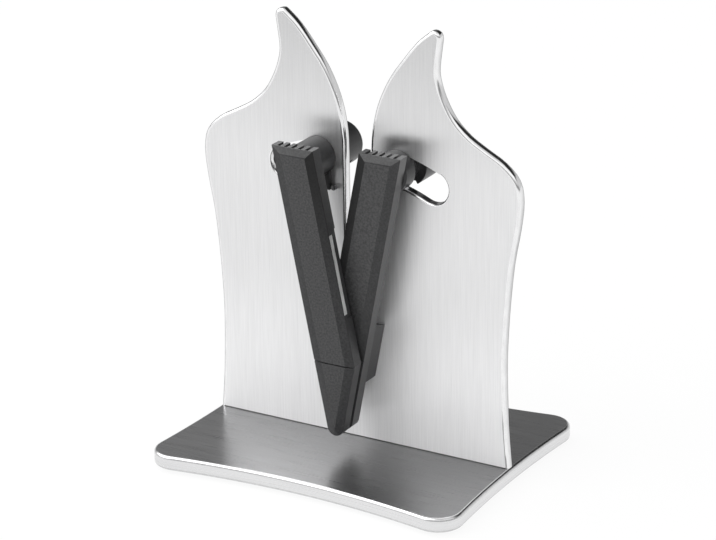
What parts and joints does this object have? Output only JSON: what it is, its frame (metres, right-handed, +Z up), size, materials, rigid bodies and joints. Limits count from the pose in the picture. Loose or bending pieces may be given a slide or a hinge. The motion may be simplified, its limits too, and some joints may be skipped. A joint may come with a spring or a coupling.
{
  "type": "pull through knife sharpener",
  "caption": "Pull-through knife sharpener: sprung crossing arms with hard steel bars turn on a bolt in front of a horned upright steel plate on a flat steel base",
  "frame": {"origin": "on the table, under the middle of the base", "axes": "X left to right, Y front to back, Z up; the arms are on the front, -Y, side"},
  "size_m": [0.1326, 0.1028, 0.1697],
  "materials": {
    "base_steel": "brushed face, polished round edges",
    "plate_steel": "vertical brushing, polished round edges",
    "foot_rubber": "matt",
    "screw_steel": "turned",
    "pin_steel": "dark ground",
    "turned_steel": "turned",
    "arm_plastic": "fine moulded texture",
    "panel_plastic": "fine moulded texture",
    "hub_plastic": "satin",
    "bar_steel": "ground",
    "bush_bronze": "turned",
    "dome_steel": "polished",
    "spring_wire": "drawn wire"
  },
  "bodies": {
    "stand": {"base_plate": "base_steel", "upright_plate": "plate_steel", "rubber_feet": "foot_rubber", "base_screws": "screw_steel", "stop_pins": "pin_steel", "pivot_bolt": "screw_steel", "pivot_spacer": "turned_steel", "spring_sleeve": "turned_steel", "pivot_washer": "turned_steel", "pivot_nut": "screw_steel"},
    "left_arm": {"left_arm_body": "arm_plastic", "left_arm_cover": "panel_plastic", "left_end_cap": "panel_plastic", "left_sharpening_bar": "bar_steel", "left_pivot_bush": "bush_bronze", "left_hub": "hub_plastic", "left_hub_shaft": "turned_steel", "left_rear_cap": "hub_plastic", "left_cap_screw": "screw_steel", "left_return_spring": "spring_wire", "lock_screw": "dome_steel"},
    "right_arm": {"right_arm_body": "arm_plastic", "right_arm_cover": "panel_plastic", "right_end_cap": "panel_plastic", "right_sharpening_bar": "bar_steel", "right_pivot_bush": "bush_bronze", "right_hub": "hub_plastic", "right_hub_shaft": "turned_steel", "right_rear_cap": "hub_plastic", "right_cap_screw": "screw_steel", "right_return_spring": "spring_wire", "right_pivot_block": "arm_plastic"}
  },
  "joints": [
    {"name": "left_arm_swing", "type": "hinge", "parent": "stand", "child": "left_arm", "pos_m": [0, 0.0006, 0.0441], "axis": [0, -1, 0], "range_deg": [0, 11.8], "stiffness_Nm_per_rad": 1.6, "springref_deg": -11.46},
    {"name": "right_arm_swing", "type": "hinge", "parent": "stand", "child": "right_arm", "pos_m": [0, 0.0006, 0.0441], "axis": [0, 1, 0], "range_deg": [0, 11.8], "stiffness_Nm_per_rad": 1.6, "springref_deg": -11.46}
  ]
}
